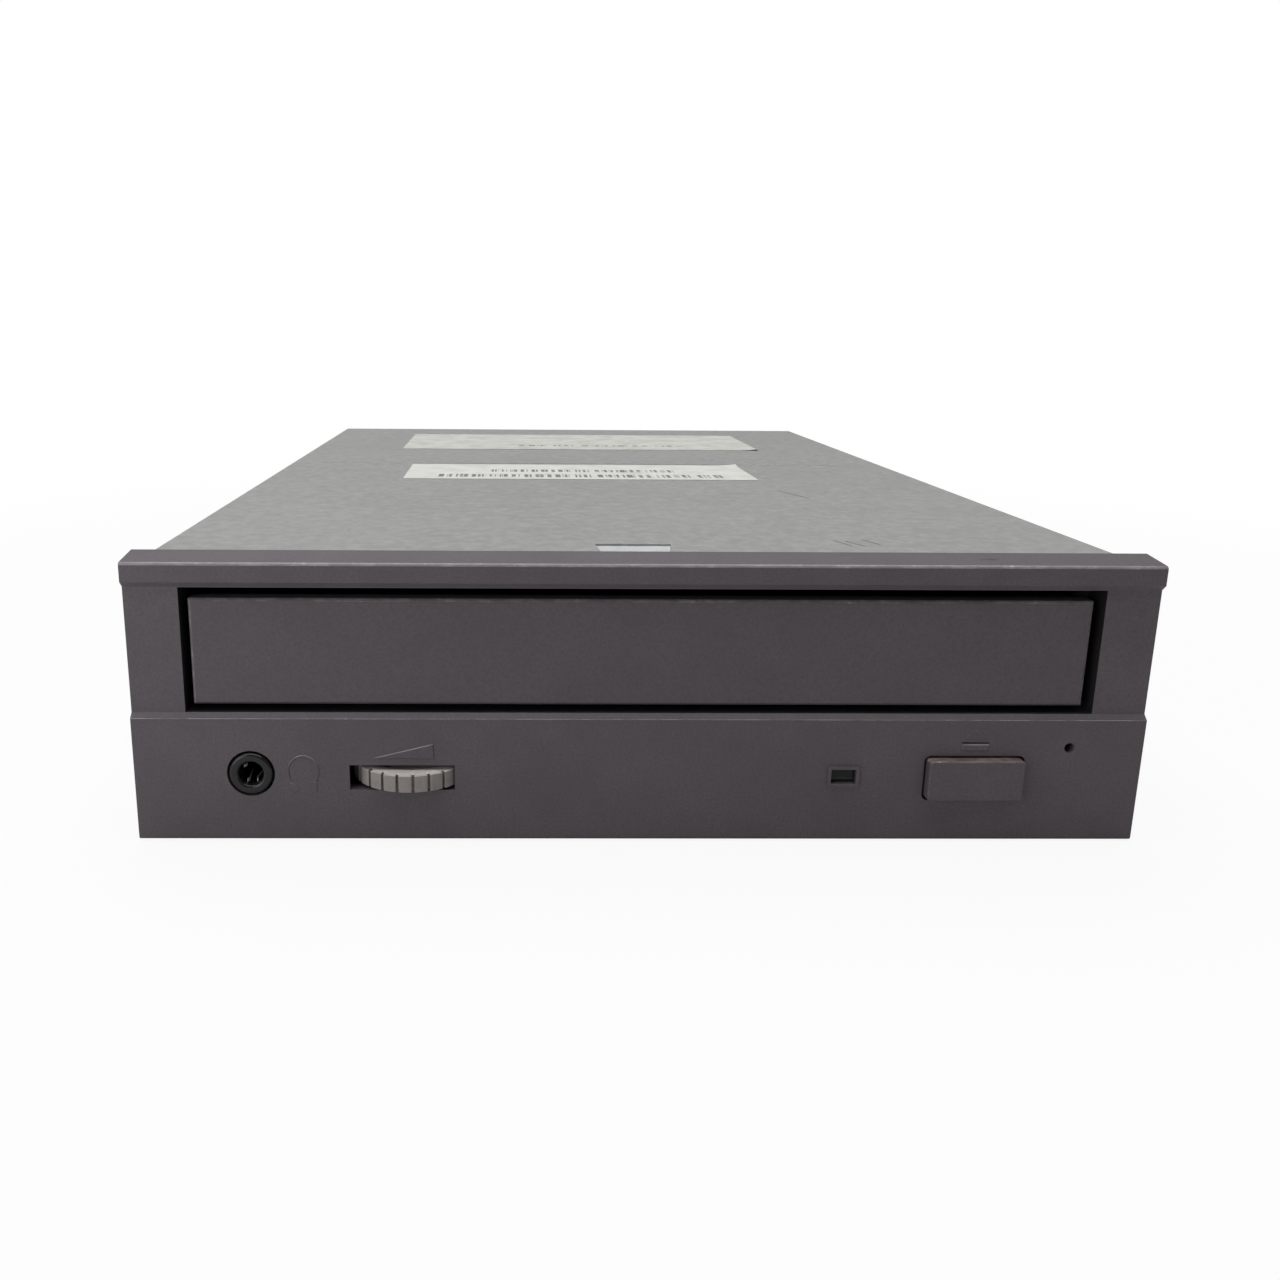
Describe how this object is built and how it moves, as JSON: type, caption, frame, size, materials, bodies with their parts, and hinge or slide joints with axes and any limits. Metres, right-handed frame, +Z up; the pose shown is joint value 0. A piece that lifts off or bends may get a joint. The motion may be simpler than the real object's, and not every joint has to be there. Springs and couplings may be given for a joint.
{
  "type": "scsi cd-rom drive",
  "caption": "Half-height tray-loading optical disc drive for a 5.25 inch bay, dark bezel, steel case, parallel connector at the back.",
  "frame": {"origin": "centre of the four bottom mounting holes, on the base plane", "axes": "+X right seen from the front, +Y to the connectors at the back, +Z up"},
  "size_m": [0.148, 0.2107, 0.0428],
  "materials": {
    "bezel_plastic": "fine moulded grain, dark grey-violet",
    "tray_plastic": "black moulded, satin",
    "gear_plastic": "natural acetal, satin",
    "wheel_plastic": "light grey moulded",
    "zinc_steel": "galvanised sheet, dull",
    "screw_steel": "zinc plated",
    "rod_steel": "ground and polished",
    "motor_can": "drawn steel can",
    "brass_part": "turned",
    "gold_pin": "plated contact",
    "rubber_part": "moulded rubber",
    "board_green": "solder resist",
    "chip_black": "epoxy package",
    "capacitor_sleeve": "shrink sleeve",
    "connector_black": "glass-filled moulding",
    "connector_white": "nylon",
    "jack_black": "glossy black collar",
    "cast_metal": "die cast",
    "lens_glass": "coated lens",
    "led_window": "dark tinted window",
    "ribbon_white": "laminated flat cable"
  },
  "bodies": {
    "chassis": {"front_bezel": "bezel_plastic", "loading_frame": "tray_plastic", "base_pan": "zinc_steel", "top_cover": "zinc_steel", "clamp_bridge": "zinc_steel", "cover_screws": "screw_steel", "frame_screws": "screw_steel", "board_screws": "screw_steel", "loading_motor": "motor_can", "drive_belt": "rubber_part", "main_board": "board_green", "control_board": "board_green", "board_chips": "chip_black", "board_capacitors": "capacitor_sleeve", "scsi_header": "connector_black", "scsi_pins": "gold_pin", "power_socket": "connector_white", "power_pins": "gold_pin", "jumper_header": "connector_black", "jumper_caps": "connector_black", "audio_sockets": "connector_black", "signal_pins": "gold_pin", "control_spacers": "gear_plastic", "headphone_jack": "jack_black", "volume_pot": "motor_can", "led_lens": "led_window", "led_lamp": "lens_glass", "eject_switch": "connector_black", "ribbon_sockets": "connector_white", "control_ribbon": "ribbon_white", "deck_ribbon": "ribbon_white"},
    "tray": {"disc_tray": "tray_plastic", "tray_front": "bezel_plastic"},
    "tray_gear_train": {"tray_gear": "gear_plastic"},
    "belt_gear_train": {"belt_gear": "gear_plastic"},
    "motor_pulley_shaft": {"motor_pulley": "brass_part"},
    "cam": {"cam_slider": "gear_plastic"},
    "traverse": {"lift_frame": "tray_plastic", "dampers": "rubber_part", "damper_screws": "screw_steel", "mech_deck": "zinc_steel", "guide_rods": "rod_steel", "spindle_motor": "motor_can", "motor_board": "board_green", "drive_bracket": "zinc_steel", "sled_motor": "motor_can"},
    "spindle": {"turntable": "tray_plastic", "turntable_pad": "rubber_part", "centring_cone": "tray_plastic", "clamp_magnet": "motor_can"},
    "pickup": {"pickup_sled": "cast_metal", "lens_actuator": "chip_black", "objective_lens": "lens_glass", "pickup_rack": "gear_plastic"},
    "sled_gear_train": {"sled_gear": "gear_plastic"},
    "sled_motor_shaft": {"sled_pinion": "gear_plastic"},
    "clamp": {"clamper": "tray_plastic", "clamper_plate": "zinc_steel"},
    "volume": {"volume_wheel": "wheel_plastic"},
    "eject": {"eject_button": "bezel_plastic"}
  },
  "joints": [
    {"name": "tray_slide", "type": "slide", "parent": "chassis", "child": "tray", "axis": [0, -1, 0], "range_m": [0, 0.138]},
    {"name": "tray_gear_spin", "type": "hinge", "parent": "chassis", "child": "tray_gear_train", "pos_m": [-0.0384, -0.07072, 0.02], "axis": [0, 0, 1], "range_deg": [-5, 795]},
    {"name": "belt_gear_spin", "type": "hinge", "parent": "chassis", "child": "belt_gear_train", "pos_m": [-0.0216, -0.07072, 0.018], "axis": [0, 0, 1], "range_deg": [-1985, 5]},
    {"name": "motor_pulley_spin", "type": "hinge", "parent": "chassis", "child": "motor_pulley_shaft", "pos_m": [0.009, -0.07072, 0.014], "axis": [0, 0, 1], "range_deg": [-6775, 10]},
    {"name": "traverse_lift", "type": "hinge", "parent": "chassis", "child": "traverse", "pos_m": [0, 0.07228, 0.019], "axis": [-1, 0, 0], "range_deg": [0, 3.6]},
    {"name": "cam_slide", "type": "slide", "parent": "chassis", "child": "cam", "axis": [-1, 0, 0], "range_m": [-0.0001, 0.0141]},
    {"name": "spindle_spin", "type": "hinge", "parent": "traverse", "child": "spindle", "pos_m": [0, -0.02092, 0.01915], "axis": [0, -0.0628, 0.998], "continuous": true},
    {"name": "pickup_slide", "type": "slide", "parent": "traverse", "child": "pickup", "axis": [0, 0.998, 0.0628], "range_m": [0, 0.036]},
    {"name": "sled_gear_spin", "type": "hinge", "parent": "traverse", "child": "sled_gear_train", "pos_m": [0.0326, 0.02624, 0.01811], "axis": [0, -0.0628, 0.998], "range_deg": [-496, 5]},
    {"name": "sled_pinion_spin", "type": "hinge", "parent": "traverse", "child": "sled_motor_shaft", "pos_m": [0.0326, 0.01738, 0.01555], "axis": [0, -0.0628, 0.998], "range_deg": [-5, 1285]},
    {"name": "clamper_spin", "type": "hinge", "parent": "chassis", "child": "clamp", "pos_m": [0, -0.02073, 0.037], "axis": [0, 0, 1], "continuous": true},
    {"name": "volume_turn", "type": "hinge", "parent": "chassis", "child": "volume", "pos_m": [-0.0339, -0.08593, 0.01], "axis": [0, 0, 1], "range_deg": [-135, 135]},
    {"name": "eject_press", "type": "slide", "parent": "chassis", "child": "eject", "axis": [0, 1, 0], "range_m": [0, 0.0008], "stiffness_N_per_m": 300, "springref_m": -0.001}
  ],
  "couplings": [
    {"joint": "tray_gear_spin", "follows": "tray_slide", "rad_per_m": 100},
    {"joint": "belt_gear_spin", "follows": "tray_slide", "rad_per_m": -250},
    {"joint": "motor_pulley_spin", "follows": "tray_slide", "rad_per_m": -854.84},
    {"joint": "cam_slide", "follows": "traverse_lift", "m_per_rad": 0.22282},
    {"joint": "sled_gear_spin", "follows": "pickup_slide", "rad_per_m": -238.1},
    {"joint": "sled_pinion_spin", "follows": "pickup_slide", "rad_per_m": 619.05}
  ]
}
